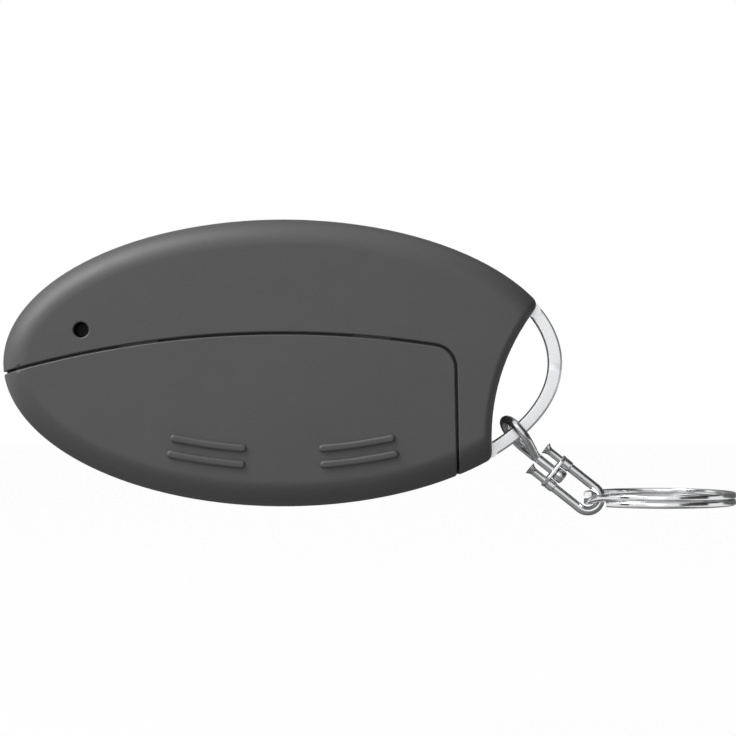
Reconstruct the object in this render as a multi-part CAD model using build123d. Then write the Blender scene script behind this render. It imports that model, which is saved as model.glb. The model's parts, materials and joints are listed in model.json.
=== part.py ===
from build123d import *

import os
from math import atan2, cos, degrees, hypot, pi, radians, sin, sqrt

# Key fob transmitter with a swivel chain and a split key ring, in millimetres.
# X runs along the fob towards the ring, Z runs up, and the rear face looks to -Y.
# The origin is the centre of the oval case, on the plane where its two halves meet.

# The oval case
half_length = 36.7
half_height = 18.8
rear_depth = 6.5
front_depth = 7.0
rim_round = 3.5
wall = 1.5
part_line = 0.15
lip_wall = 0.7
lip_height = 1.0
lip_root = 0.8
overrun = 3.0

# The hollow bite at the ring end, an arc whose centre is beyond the tip of the oval
bite_radius = 27.0
bite_beyond = 17.48
bite_drop = 9.6
bite_edge_round = 1.2

# The battery cover: an arched top edge, and a straight edge that widens downwards
arch_radius = 130.0
arch_above_cell = 0.35
cover_from_bite = 4.9
cover_draft = 0.5
cover_corner = 2.9
cover_wall = 1.4
cover_gap = 0.2
seam = 0.32
deck_wall = 1.1
step_wall = 1.3

# Grip ribs on the cover
rib_arc_radius = 67.0
rib_low_point = 11.3
rib_pitch = 2.1
rib_width = 1.05
rib_rise = 0.45
rib_start = 5.2
rib_end = 14.1

# Hooks and latch that hold the cover
hook_left_inset = 13.4
hook_right_inset = 9.2
hook_length = 5.0
hook_stem = 1.2
hook_foot = 1.0
hook_thick = 0.8
hook_gap = 0.15
latch_left_inset = 18.0
latch_right_inset = 10.7
latch_width = 5.0
latch_reach = 1.6
latch_thick = 0.7

# Coin cell and its pocket
cell_x = -4.0
cell_margin = 0.35
cell_radius = 10.0
cell_thick = 3.2
cell_edge = 0.3
cell_gap = 0.2
cell_sink = 0.45
pocket_wall = 0.7

# Circuit board
board_thick = 1.0
board_rear = 0.2
board_margin = 0.3
board_from_cover = 1.2

# Screws that close the case, under the battery cover
screw_left_inset = 8.7
screw_right_inset = 3.8
screw_left_drop = 4.2
screw_right_drop = 9.8
screw_radius = 1.0
screw_head_radius = 1.9
screw_head_height = 1.2
screw_length = 7.6
screw_recess = 0.25
screw_slot_width = 0.5
screw_slot_depth = 0.5
cup_wall = 0.7
cup_floor = 1.0
fit_gap = 0.1
thread_gap = 0.02
post_wall = 1.1

# Key loop: a flat bow that carries on the line of the oval across the bite
loop_width = 1.9
loop_depth = 1.0
loop_edge = 0.3
upper_pad_inset = 5.2
upper_pad_rise = 1.9
lower_pad_inset = 2.75
lower_pad_rise = 2.2
pad_radius = 1.75
pad_pin_radius = 0.8

# Keys on the button face
key_field_z = 0.5
key_field_left_inset = 12.0
key_field_from_light = 3.8
key_field_side_margin = 7.6
key_web = 1.9
key_corner = 1.6
key_gap = 0.2
key_rise = 0.7
key_edge = 0.5
key_flange = 0.7
key_flange_thick = 0.7
key_post_radius = 1.6
key_travel = 0.4
key_dish = 60.0

# Small switches on the board
switch_side = 4.5
switch_body = 1.9
switch_stem_radius = 1.1
switch_stem_rise = 0.7
switch_free = 0.05
learn_inset = 10.5
learn_height_share = 0.311
pin_hole_radius = 1.0
learn_travel = 0.25

# Light
light_from_cover = 1.7
light_z = 3.4
light_radius = 1.5
light_flange = 0.6
light_dome = 0.4
lamp_length = 3.2
lamp_width = 1.6
lamp_height = 1.1

# Parts soldered to the board
chip_from_cover = 9.2
chip_z = -1.2
chip_length = 5.0
chip_width = 4.0
chip_height = 1.5
chip_lift = 0.1
lead_width = 0.4
lead_pitch = 1.27
lead_reach = 0.9
lead_thick = 0.2
crystal_from_cover = 9.7
crystal_from_top = 12.4
crystal_length = 8.6
crystal_width = 3.6
crystal_height = 2.4
filter_from_learn = 9.2
filter_from_top = 11.0
filter_radius = 2.3
filter_height = 2.2
filter_brim = 0.4
antenna_width = 0.8
antenna_thick = 0.1
antenna_inset = 0.2
antenna_turn = 62.0

# Battery contacts
contact_thick = 0.3
minus_length = 9.0
minus_width = 3.0
plus_width = 3.4
plus_foot = 2.4

# Swivel chain: an eye hangs square to the bow, and its shank turns a little to the line of the ring link
hang_angle = 31.2
hang_reach = 3.85
chain_drop = 38.5
plate_length = 5.0
plate_width = 2.9
plate_thick = 0.45
eye_wire = 1.2
eye_turn = 1.8
eye_spread = 2.6
eye_rise = 0.37
eye_foot = 0.12
eye_foot_sink = 0.3
eye_twist = 20.0
eye_shank = 3.3
eye_shank_radius = 0.62
eye_head_radius = 0.88
eye_head_height = 1.3
swivel_gap = 0.06
plate_gap = 0.12
ring_leg = 1.7
ring_wire = 1.2
ring_reach = 5.75
leg_neck = 0.5
leg_rise = 2.5
leg_flare = 0.85
leg_flare_height = 0.8
leg_cup_depth = 0.4
collar_radius = 0.74
collar_height = 1.1

# Split ring: two flat turns and the step between them
key_ring_radius = 10.0
key_ring_wire = 1.0
key_ring_turn = 0.8
key_ring_gap = 0.08
key_ring_edge = 0.2
key_ring_tilt = 0.5
step_start = 40.0
step_sweep = 40.0
step_sections = 7

# Places that follow from the sizes above
bite_x = half_length + bite_beyond
bite_z = -bite_drop
cover_right = bite_x - bite_radius - cover_from_bite
deck_inset = cover_wall + cover_gap
deck_outer = -(rear_depth - deck_inset)
deck_inner = deck_outer + deck_wall
cell_z = deck_inset + cell_margin + cell_gap + cell_radius - half_height
arch_crown = cell_z + cell_radius + arch_above_cell
arch_z = arch_crown - arch_radius
inner_rear = -(rear_depth - wall)
inner_front = front_depth - wall
board_front = board_rear + board_thick
cell_outer = deck_outer + cell_sink
cell_inner = cell_outer + cell_thick
key_bottom = board_front + switch_body + switch_stem_rise + switch_free
key_flange_top = inner_front - key_gap
hook_left = hook_left_inset - half_length
hook_right = cover_right - hook_right_inset
latch_x = (latch_left_inset - half_length, cover_right - latch_right_inset)
board_right = cover_right - board_from_cover
screw_x = (screw_left_inset - half_length, cover_right - screw_right_inset)
screw_z = (-screw_left_drop, -screw_right_drop)
key_field_half_height = half_height - key_field_side_margin
light_x = cover_right - light_from_cover
key_field_left = key_field_left_inset - half_length
key_field_right = light_x - key_field_from_light
key_field_x = (key_field_left + key_field_right) / 2
key_field_half_length = (key_field_right - key_field_left) / 2
chip_x = cover_right - chip_from_cover
crystal_x = cover_right - crystal_from_cover
crystal_z = half_height - crystal_from_top
filter_z = half_height - filter_from_top
learn_x = learn_inset - half_length
learn_floor = arch_z + sqrt(arch_radius**2 - learn_x**2)
learn_roof = (half_height - wall) * sqrt(1 - (learn_x / (half_length - wall)) ** 2)
learn_z = learn_floor + (learn_roof - learn_floor) * learn_height_share
filter_x = learn_x + filter_from_learn
chain = Vector(cos(radians(chain_drop)), 0, -sin(radians(chain_drop)))
bow_length = half_length - loop_width / 2
bow_height = half_height - loop_width / 2
hang_x = bow_length * cos(radians(hang_angle))
hang_z = -bow_height * sin(radians(hang_angle))
down = Vector(cos(radians(hang_angle)) / bow_length, 0, -sin(radians(hang_angle)) / bow_height).normalized()
kink = Vector(hang_x, 0, hang_z) + down * hang_reach
plate_x = kink.X + chain.X * eye_shank
plate_z = kink.Z + chain.Z * eye_shank
across = Vector(sin(radians(chain_drop)), 0, cos(radians(chain_drop)))


def slab(sketch, low, high):
    """A sketch drawn as seen from the rear, made solid between two depths."""
    return extrude(Plane.XZ.offset(-high) * sketch, amount=high - low)


def drum(x, z, radius, low, high):
    return slab(Pos(x, z) * Circle(radius), low, high)


def block(x, z, length, height, low, high):
    return slab(Pos(x, z) * Rectangle(length, height), low, high)


def case_form(inset):
    """The outside of the whole case, or the same form drawn in by an inset."""
    oval = Ellipse(half_length - inset, half_height - inset)
    body = slab(oval, inset - rear_depth, front_depth - inset)
    faces = body.faces().sort_by(Axis.Y)
    body = fillet(faces[0].edges() + faces[-1].edges(), rim_round - inset)
    body -= drum(bite_x, bite_z, bite_radius + inset, -rear_depth - overrun, front_depth + overrun)
    if inset == 0:
        bite_face = max(body.faces().filter_by(GeomType.CYLINDER), key=lambda face: face.area)
        body = fillet(bite_face.edges(), bite_edge_round)
    return body


def half_space(low, high):
    reach = 2 * (half_length + bite_radius)
    return block(0, 0, reach, reach, low, high)


def cover_outline(grow):
    """The region of the battery cover, seen from the rear, grown outwards by a margin."""
    left = -half_length - overrun
    low = -half_height - overrun
    top_radius = arch_radius + grow
    right_top = cover_right + grow
    right_low = right_top + cover_draft
    arch = Pos(0, arch_z) * Circle(top_radius)
    field = Polygon(
        (left, low), (right_low, low), (right_top, arch_crown),
        (right_top, half_height), (left, half_height),
        align=None,
    )
    region = arch & field
    corner = region.vertices().sort_by_distance(Vector(right_top, arch_crown))[0]
    return fillet(corner, cover_corner + grow)


def cover_zone(grow, low, high):
    return slab(cover_outline(grow), low, high)


def screw_places():
    return list(zip(screw_x, screw_z))


def arch_height(x):
    return arch_z + sqrt(arch_radius**2 - x**2)


def rail_slot(x, top):
    """A slot in the deck for a hook's stem, and a wider way under it for the foot, both open below."""
    bottom = -half_height - overrun
    middle = (top + bottom) / 2
    foot_width = hook_stem + 2 * hook_foot + 2 * hook_gap
    foot_high = deck_inner + 2 * hook_gap + hook_thick
    slot = block(x, middle, hook_stem + 2 * hook_gap, top - bottom, deck_outer - overrun, foot_high)
    return slot + block(x, middle, foot_width, top - bottom, deck_inner, foot_high)


def hook_top(x):
    return arch_height(x) - seam - 2 * deck_wall


def back_shell():
    outer = case_form(0) & half_space(-rear_depth - overrun, 0)
    upper = outer - case_form(wall) - cover_zone(seam, -rear_depth - overrun, 0)
    under = (case_form(deck_inset) - case_form(deck_inset + deck_wall)) & half_space(-rear_depth, 0)
    under &= cover_zone(seam + step_wall, -rear_depth, 0)
    step = case_form(wall / 2) & cover_zone(seam + step_wall, -rear_depth, deck_inner)
    step -= cover_zone(seam, -rear_depth - overrun, deck_inner + overrun)
    edge = case_form(wall / 2) & cover_zone(seam + step_wall, deck_inner, 0)
    edge -= cover_zone(seam, deck_inner - overrun, 0)
    edge -= case_form(deck_inset + deck_wall)
    shell = upper + under + step + edge
    for x, z in screw_places():
        shell += screw_cup(x, z)
    shell += cell_pocket()
    shell += pad_posts_rear()
    for x, z in screw_places():
        shell -= drum(x, z, screw_head_radius + fit_gap, deck_outer - overrun, screw_seat())
        shell -= drum(x, z, screw_radius + fit_gap, screw_seat() - fit_gap, overrun)
    shell -= drum(cell_x, cell_z, cell_radius + cell_gap, deck_outer - overrun, board_rear)
    shell -= plus_notch()
    for x in (hook_left, hook_right):
        shell -= rail_slot(x, hook_top(x) + hook_gap)
    for x in latch_x:
        shell -= latch_tongue(x, hook_gap) - cover_zone(seam, -rear_depth - overrun, 0)
    shell -= drum(learn_x, learn_z, pin_hole_radius, -rear_depth - overrun, inner_rear + wall)
    shell -= loop_channel()
    return keep_largest(shell)


def keep_largest(shape):
    solids = shape.solids().sort_by(SortBy.VOLUME)
    return solids[-1]


def screw_seat():
    return deck_outer + screw_recess + screw_head_height


def screw_cup(x, z):
    radius = screw_head_radius + fit_gap + cup_wall
    cup = drum(x, z, radius, deck_outer, screw_seat() + cup_floor)
    return cup & case_form(deck_inset)


def cell_pocket():
    ring = drum(cell_x, cell_z, cell_radius + cell_gap + pocket_wall, deck_outer, cell_inner)
    return ring & case_form(deck_inset)


def plus_notch():
    """Room in the pocket wall for the plus contact, at the ring side of the cell."""
    length = 2 * (pocket_wall + contact_thick + cell_gap)
    x = cell_x + cell_radius + cell_gap
    return block(x, cell_z, length, plus_width + 2 * fit_gap, deck_inner - deck_wall / 2, board_rear)


def pad_posts_rear():
    posts = None
    for x, z in pad_places():
        post = drum(x, z, pad_radius, inner_rear - wall / 2, -loop_depth / 2 - fit_gap)
        post -= drum(x, z, pad_pin_radius + fit_gap, -loop_depth, 0)
        posts = post if posts is None else posts + post
    return posts & case_form(wall / 2)


def latch_tongue(x, grow):
    """A tongue in the thickness of the cover's arched edge, or the slot that it enters, when grown."""
    top = arch_height(x) + seam + latch_reach + grow
    low = arch_height(x) - latch_reach
    high = cover_wall - rear_depth
    width = latch_width + 2 * grow
    return block(x, (top + low) / 2, width, top - low, high - latch_thick - grow, high + grow)


def battery_cover():
    form = (case_form(0) - case_form(cover_wall)) & half_space(-rear_depth - overrun, -part_line)
    cover = keep_largest(form & cover_zone(0, -rear_depth - overrun, 0))
    for x in (hook_left, hook_right):
        cover += hook(x)
    for x in latch_x:
        cover += latch_tongue(x, 0)
    for side in (-1, 1):
        for row in (0, 1):
            cover += grip_rib(side, row)
    return cover


def hook(x):
    top = hook_top(x)
    middle = top - hook_length / 2
    foot_low = deck_inner + hook_gap
    inner_face = -rear_depth + cover_wall / 2
    stem = block(x, middle, hook_stem, hook_length, inner_face, foot_low + hook_thick)
    width = hook_stem + 2 * hook_foot
    return stem + block(x, middle, width, hook_length, foot_low, foot_low + hook_thick)


def grip_rib(side, row):
    """A raised bar with round ends that follows a hollow arc."""
    radius = rib_arc_radius + row * rib_pitch
    centre = rib_arc_radius - rib_low_point
    first = degrees(atan2(rib_start, sqrt(rib_arc_radius**2 - rib_start**2)))
    last = degrees(atan2(rib_end, sqrt(rib_arc_radius**2 - rib_end**2)))
    base = -rear_depth + cover_wall / 2
    line = CenterArc((0, centre), radius, 270 + side * first, side * (last - first))
    bar = slab(SlotArc(line, rib_width), -rear_depth - rib_rise, base)
    rims = bar.faces().sort_by(Axis.Y)[0].edges()
    return fillet(rims, rib_rise * 0.8)


def front_shell():
    shell = (case_form(0) - case_form(wall)) & half_space(0, front_depth + overrun)
    for x, z in screw_places():
        shell += screw_post(x, z)
    for x, z in pad_places():
        shell += pad_post_front(x, z)
    shell += alignment_lip()
    for index in range(4):
        shell -= slab(key_outline(index, key_gap), inner_front - overrun, front_depth + overrun)
    shell -= drum(light_x, light_z, light_radius + fit_gap, inner_front - overrun, front_depth + overrun)
    for x, z in screw_places():
        shell -= drum(x, z, screw_radius + thread_gap, screw_seat(), screw_tip() + fit_gap)
    shell -= loop_channel()
    return keep_largest(shell)


def alignment_lip():
    """A lip that stands inside the wall of the back shell, all round above the battery cover."""
    inset = wall + fit_gap
    inside = case_form(inset + lip_wall)
    lip = (case_form(inset) - inside) & half_space(-lip_height, lip_root)
    lip -= cover_zone(seam + step_wall + fit_gap, -rear_depth, 0)
    for x, z in pad_places():
        lip -= drum(x, z, pad_radius + fit_gap, -rear_depth, 0)
    side = switch_side + 2 * fit_gap
    lip -= block(learn_x, learn_z, side, side, -rear_depth, 0)
    root = (case_form(wall / 2) - inside) & half_space(0, lip_root)
    return lip + root


def screw_tip():
    return screw_seat() + screw_length


def screw_post(x, z):
    """A post with a shoulder for the board and a neck that passes through it."""
    neck = screw_radius + thread_gap + post_wall * 0.6
    post = drum(x, z, neck + post_wall * 0.7, board_front, inner_front + wall / 2)
    return post + drum(x, z, neck, screw_seat() + cup_floor + fit_gap, board_front)


def pad_post_front(x, z):
    post = drum(x, z, pad_radius, loop_depth / 2 + fit_gap, inner_front + wall / 2)
    post = post & case_form(wall / 2)
    return post + drum(x, z, pad_pin_radius, -loop_depth / 2 - 2 * fit_gap, loop_depth)


def bow_sketch(grow):
    """The bow carries on the line of the oval between the tips of the bite."""
    bow = Ellipse(half_length + grow, half_height + grow)
    bow -= Ellipse(half_length - loop_width - grow, half_height - loop_width - grow)
    return bow & (Pos(bite_x, bite_z) * Circle(bite_radius))


def feet_sketch(grow):
    """Two bars that run from the ends of the bow to round pads inside the case."""
    feet = None
    for (x, z), (end_x, end_z) in zip(pad_places(), (bow_end(1), bow_end(-1))):
        run = hypot(end_x - x, end_z - z)
        turn = degrees(atan2(end_z - z, end_x - x))
        place = Pos((x + end_x) / 2, (z + end_z) / 2) * Rot(0, 0, turn)
        foot = place * Rectangle(run, loop_width + 2 * grow)
        foot += Pos(end_x, end_z) * Circle(loop_width / 2 + grow)
        foot += Pos(x, z) * Circle(pad_radius + grow)
        feet = foot if feet is None else feet + foot
    return feet


def bow_end(side):
    """Where the middle line of the bow meets the bite, above or below."""
    low = 0.0
    high = pi / 2
    for _ in range(60):
        angle = (low + high) / 2
        x = bow_length * cos(angle)
        z = side * bow_height * sin(angle)
        if hypot(x - bite_x, z - bite_z) > bite_radius:
            high = angle
        else:
            low = angle
    return x, z


def pad_places():
    upper_x, upper_z = bow_end(1)
    lower_x, lower_z = bow_end(-1)
    upper = (upper_x - upper_pad_inset, upper_z + upper_pad_rise)
    return upper, (lower_x - lower_pad_inset, lower_z + lower_pad_rise)


def key_loop():
    bow = slab(bow_sketch(0), -loop_depth / 2, loop_depth / 2)
    rims = [edge for edge in bow.edges() if edge.length > 3 * loop_width]
    loop = fillet(rims, loop_edge)
    loop += slab(feet_sketch(0), -loop_depth / 2, loop_depth / 2)
    for x, z in pad_places():
        loop -= drum(x, z, pad_pin_radius + fit_gap, -loop_depth, loop_depth)
    return loop


def loop_channel():
    depth = loop_depth / 2 + fit_gap
    return slab(bow_sketch(fit_gap) + feet_sketch(fit_gap), -depth, depth)


def circuit_board():
    board = case_form(deck_inset + deck_wall + board_margin) & half_space(board_rear, board_front)
    reach = half_length + overrun
    board &= block(board_right - reach, 0, 2 * reach, 2 * half_height, board_rear, board_front)
    for x, z in screw_places():
        neck = screw_radius + thread_gap + post_wall * 0.6
        board -= drum(x, z, neck + fit_gap, board_rear - overrun, board_front + overrun)
    return board


def key_outline(index, grow):
    """One quarter of the oval key field; a web parts it from its neighbours."""
    side_x = 1 if index in (1, 3) else -1
    side_z = 1 if index in (0, 1) else -1
    length = key_field_half_length + grow
    height = key_field_half_height + grow
    x = side_x * (length + key_web / 2 - grow) / 2
    z = side_z * (height + key_web / 2 - grow) / 2
    width = length - key_web / 2 + grow
    rise = height - key_web / 2 + grow
    quarter = Ellipse(length, height) & (Pos(x, z) * Rectangle(width, rise))
    quarter = fillet(quarter.vertices(), key_corner + grow)
    return Pos(key_field_x, key_field_z) * quarter


def key_centre(index):
    place = key_outline(index, 0).center()
    return place.X, place.Y


def key(index):
    x, z = key_centre(index)
    cap = slab(key_outline(index, 0), key_flange_top - key_flange_thick, front_depth + key_rise)
    rims = cap.faces().sort_by(Axis.Y)[-1].edges()
    cap = fillet(rims, key_edge)
    cap += slab(key_outline(index, key_flange), key_flange_top - key_flange_thick, key_flange_top)
    cap += drum(x, z, key_post_radius, key_bottom, key_flange_top)
    dish_depth = key_rise / 2
    dish = Pos(x, front_depth + key_rise + key_dish - dish_depth, z) * Sphere(key_dish)
    return cap - dish


def switch_bodies():
    """Four press switches on the front of the board, one behind each key."""
    bodies = None
    for index in range(4):
        x, z = key_centre(index)
        body = block(x, z, switch_side, switch_side, board_front, board_front + switch_body)
        body = chamfer(body.edges().filter_by(Axis.Y), switch_side / 12)
        body -= drum(x, z, switch_stem_radius + fit_gap, board_front + switch_body / 3, front_depth)
        bodies = body if bodies is None else bodies + body
    return bodies


def switch_stem(index):
    x, z = key_centre(index)
    low = board_front + switch_body / 3 + key_travel + fit_gap
    stem = drum(x, z, switch_stem_radius, low, key_bottom - switch_free)
    return chamfer(stem.faces().sort_by(Axis.Y)[-1].edges(), switch_stem_radius / 6)


def learn_switch():
    body = block(learn_x, learn_z, switch_side, switch_side, board_rear - switch_body, board_rear)
    body = chamfer(body.edges().filter_by(Axis.Y), switch_side / 12)
    hole_floor = board_rear - switch_body / 3
    return body - drum(learn_x, learn_z, switch_stem_radius + fit_gap, -rear_depth, hole_floor)


def learn_stem():
    low = board_rear - switch_body - switch_stem_rise
    high = board_rear - switch_body / 3 - learn_travel - fit_gap
    stem = drum(learn_x, learn_z, switch_stem_radius, low, high)
    return chamfer(stem.faces().sort_by(Axis.Y)[0].edges(), switch_stem_radius / 6)


def light_guide():
    """A clear pin with a flange inside the wall and a low dome outside."""
    guide = drum(light_x, light_z, light_radius, inner_front - light_flange, front_depth + light_dome)
    guide = fillet(guide.faces().sort_by(Axis.Y)[-1].edges(), light_dome * 0.9)
    low = board_front + lamp_height + 2 * fit_gap
    stalk = drum(light_x, light_z, light_radius * 0.8, low, inner_front)
    brim = drum(light_x, light_z, light_radius + light_flange, inner_front - light_flange, inner_front)
    return guide + stalk + brim


def status_lamp():
    base = block(light_x, light_z, lamp_length, lamp_width, board_front, board_front + lamp_height / 2)
    top = board_front + lamp_height
    lens = block(light_x, light_z, lamp_length * 0.6, lamp_width * 0.8, board_front, top)
    return base + lens


def control_chip():
    low = board_rear - chip_lift - chip_height
    body = block(chip_x, chip_z, chip_length, chip_width, low, board_rear - chip_lift)
    body = chamfer(body.faces().sort_by(Axis.Y)[0].edges(), chip_height / 6)
    middle = (low + board_rear - chip_lift) / 2
    for index in range(4):
        x = chip_x + (index - 1.5) * lead_pitch
        for side in (-1, 1):
            edge = chip_z + side * chip_width / 2
            top = middle + lead_thick
            out = block(x, edge + side * lead_reach / 4, lead_width, lead_reach / 2, middle, top)
            down_z = edge + side * (lead_reach / 2 - lead_thick / 2)
            down = block(x, down_z, lead_width, lead_thick, middle, board_rear)
            foot_z = edge + side * lead_reach * 0.75
            foot = block(x, foot_z, lead_width, lead_reach / 2, board_rear - lead_thick, board_rear)
            body += out + down + foot
    return body


def crystal_can():
    low = board_rear - crystal_height
    can = slab(Pos(crystal_x, crystal_z) * SlotOverall(crystal_length, crystal_width), low, board_rear)
    can = fillet(can.faces().sort_by(Axis.Y)[0].edges(), crystal_height / 6)
    brim = SlotOverall(crystal_length + filter_brim, crystal_width + filter_brim)
    return can + slab(Pos(crystal_x, crystal_z) * brim, board_rear - filter_brim, board_rear)


def filter_can():
    low = board_rear - filter_height
    can = drum(filter_x, filter_z, filter_radius, low, board_rear)
    can = fillet(can.faces().sort_by(Axis.Y)[0].edges(), filter_height / 6)
    return can + drum(filter_x, filter_z, filter_radius + filter_brim, board_rear - filter_brim, board_rear)


def antenna():
    """A flat printed loop on the front of the board, along its left end."""
    inset = deck_inset + deck_wall + board_margin + antenna_inset
    band = Ellipse(half_length - inset, half_height - inset)
    band -= Ellipse(half_length - inset - antenna_width, half_height - inset - antenna_width)
    reach = half_length * cos(radians(antenna_turn))
    band &= Pos(-half_length, 0) * Rectangle(2 * (half_length - reach), 2 * half_height)
    track = slab(band, board_front, board_front + antenna_thick)
    return track


def coin_cell():
    cell = drum(cell_x, cell_z, cell_radius, cell_outer, cell_inner)
    cell = fillet(cell.faces().sort_by(Axis.Y)[0].edges(), cell_edge)
    step = drum(cell_x, cell_z, cell_radius, cell_inner - cell_edge, cell_inner + cell_edge)
    cap_radius = cell_radius - 3 * cell_edge
    step -= drum(cell_x, cell_z, cap_radius, cell_inner - 2 * cell_edge, cell_inner + overrun)
    return cell - step


def minus_contact():
    """A leaf with a foot on the board and a raised tip that presses on the cell."""
    rise = board_rear - cell_inner
    x = cell_x - minus_length / 2
    foot_end = x + minus_length / 3
    top = board_rear - rise
    points = (
        (x, board_rear), (foot_end, board_rear),
        (x + minus_length * 0.8, top + contact_thick), (x + minus_length, top + contact_thick),
        (x + minus_length, top), (x + minus_length * 0.78, top),
        (foot_end - contact_thick / 2, board_rear - contact_thick), (x, board_rear - contact_thick),
    )
    side = Polygon(*points, align=None)
    leaf = extrude(Plane.XY.offset(cell_z - minus_width / 2) * side, amount=minus_width)
    return leaf


def plus_contact():
    """A clip that stands on the board and touches the rim of the cell."""
    x = cell_x + cell_radius
    low = deck_inner + fit_gap
    post = block(x + contact_thick / 2, cell_z, contact_thick, plus_width, low, board_rear)
    foot_x = x + contact_thick + plus_foot / 2
    foot = block(foot_x, cell_z, plus_foot, plus_width, board_rear - contact_thick, board_rear)
    return post + foot


def case_screws():
    """Two pan head screws, one solid each, with a straight driver slot."""
    screws = None
    for x, z in screw_places():
        seat = screw_seat()
        head = drum(x, z, screw_head_radius, seat - screw_head_height, seat)
        head = fillet(head.faces().sort_by(Axis.Y)[0].edges(), screw_head_height / 3)
        head -= block(
            x, z, 2 * screw_head_radius, screw_slot_width, seat - screw_head_height - overrun,
            seat - screw_head_height + screw_slot_depth,
        )
        shank = drum(x, z, screw_radius, seat, screw_tip())
        shank = chamfer(shank.faces().sort_by(Axis.Y)[-1].edges(), screw_radius / 2)
        screw = head + shank
        screws = screw if screws is None else screws + screw
    return screws


def chain_frame(along):
    """A plane along the chain: its normal runs back up to the bow, its X lies in the case's plane."""
    origin = Vector(plate_x, 0, plate_z) - chain * along
    return Plane(origin=origin, x_dir=across, z_dir=chain * -1)


def rod(radius, low, high, shift=0):
    frame = chain_frame(low)
    return extrude(frame * Pos(shift, 0) * Circle(radius), amount=high - low)


def eye_link():
    """Round wire bent into an eye about the bow; its ends close into a shank with a head."""
    rise = hang_reach + eye_rise
    frame = eye_plane()
    near = FilletPolyline(
        (-eye_foot, -eye_foot_sink), (-eye_turn, eye_spread), (-eye_turn, rise), radius=eye_wire,
    )
    bend = ThreePointArc((-eye_turn, rise), (0, rise + eye_turn), (eye_turn, rise))
    far = FilletPolyline(
        (eye_foot, -eye_foot_sink), (eye_turn, eye_spread), (eye_turn, rise), radius=eye_wire,
    )
    eye = wire_along(frame * Wire(near.edges() + bend.edges())) + wire_along(frame * far)
    low = -plate_thick / 2 - plate_gap
    shank = rod(eye_shank_radius, low, eye_shank)
    knuckle = Pos(kink) * Sphere(eye_shank_radius)
    head = rod(eye_head_radius, low - eye_head_height, low)
    head = chamfer(head.edges().filter_by(GeomType.CIRCLE), eye_head_radius / 5)
    return eye + knuckle + shank + head


def wire_along(path):
    return sweep(Plane(origin=path @ 0, z_dir=path % 0) * Circle(eye_wire / 2), path=path)


def eye_plane():
    """The plane of the eye: its Y runs from the shank up to the bow, and it is turned about that line."""
    twist = radians(eye_twist)
    sideways = Vector(0, cos(twist), 0) - Vector(-down.Z, 0, down.X) * sin(twist)
    return Plane(origin=kink, x_dir=sideways, z_dir=sideways.cross(down * -1))


def saddle_plate():
    frame = chain_frame(-plate_thick / 2)
    sketch = SlotOverall(plate_length, plate_width)
    sketch -= Circle(eye_shank_radius + swivel_gap)
    for side in (-1, 1):
        sketch -= Pos(side * ring_leg, 0) * Circle(leg_neck)
    return extrude(frame * sketch, amount=plate_thick)


def ring_link():
    """A bent wire whose two legs pass the plate and end in flared cups."""
    low = -ring_reach
    radius = ring_wire / 2
    link = None
    for side in (-1, 1):
        shift = side * ring_leg
        leg = rod(radius, low, -plate_thick / 2 - collar_height, shift)
        leg += rod(collar_radius, -plate_thick / 2 - collar_height, -plate_thick / 2, shift)
        leg += rod(leg_neck, -plate_thick / 2, plate_thick / 2 + leg_rise - leg_flare_height, shift)
        leg += flare(shift)
        link = leg if link is None else link + leg
    frame = chain_frame(low)
    section = frame * Pos(ring_leg, 0) * Circle(radius)
    axis = Axis(frame.origin, Vector(0, 1, 0))
    bend = revolve(section, axis, 180)
    if bend.center().X < frame.origin.X:
        bend = revolve(section, axis, -180)
    return link + bend


def flare(shift):
    low = plate_thick / 2 + leg_rise - leg_flare_height
    bottom = chain_frame(low) * Pos(shift, 0) * Circle(leg_neck)
    top = chain_frame(low + leg_flare_height) * Pos(shift, 0) * Circle(leg_flare)
    cone = loft([bottom.face(), top.face()])
    cup_low = low + leg_flare_height - leg_cup_depth
    cup_bottom = chain_frame(cup_low) * Pos(shift, 0) * Circle(leg_neck / 2)
    cup_top = chain_frame(low + leg_flare_height) * Pos(shift, 0) * Circle(leg_flare * 0.8)
    return cone - loft([cup_bottom.face(), cup_top.face()])


def ring_section():
    section = Rectangle(key_ring_wire, key_ring_turn)
    return fillet(section.vertices(), key_ring_edge)


def split_ring():
    """Two flat turns joined by a step, as a hardened steel key ring is wound."""
    mean = key_ring_radius - key_ring_wire / 2
    rise = (key_ring_turn + key_ring_gap) / 2
    lower = revolve(Plane.XZ * Pos(mean, -rise) * ring_section(), Axis.Z, 360 - step_sweep)
    upper = revolve(Plane.XZ * Pos(mean, rise) * ring_section(), Axis.Z, 360 - step_sweep)
    sections = []
    for index in range(step_sections):
        share = index / (step_sections - 1)
        smooth = share * share * (3 - 2 * share)
        height = -rise + 2 * rise * smooth
        turned = Plane.XZ * Pos(mean, height) * ring_section()
        sections.append((Rot(0, 0, -step_sweep * (1 - share)) * turned).face())
    step = loft(sections)
    ring = lower + step + upper
    ring = Rot(0, 0, 180 + step_start) * ring
    ring = Pos(mean, 0, 0) * ring
    ring = Rot(key_ring_tilt, 0, 0) * ring
    return Pos(ring_hinge()) * ring


def ring_hinge():
    return Vector(plate_x, 0, plate_z) + chain * ring_reach


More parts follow.
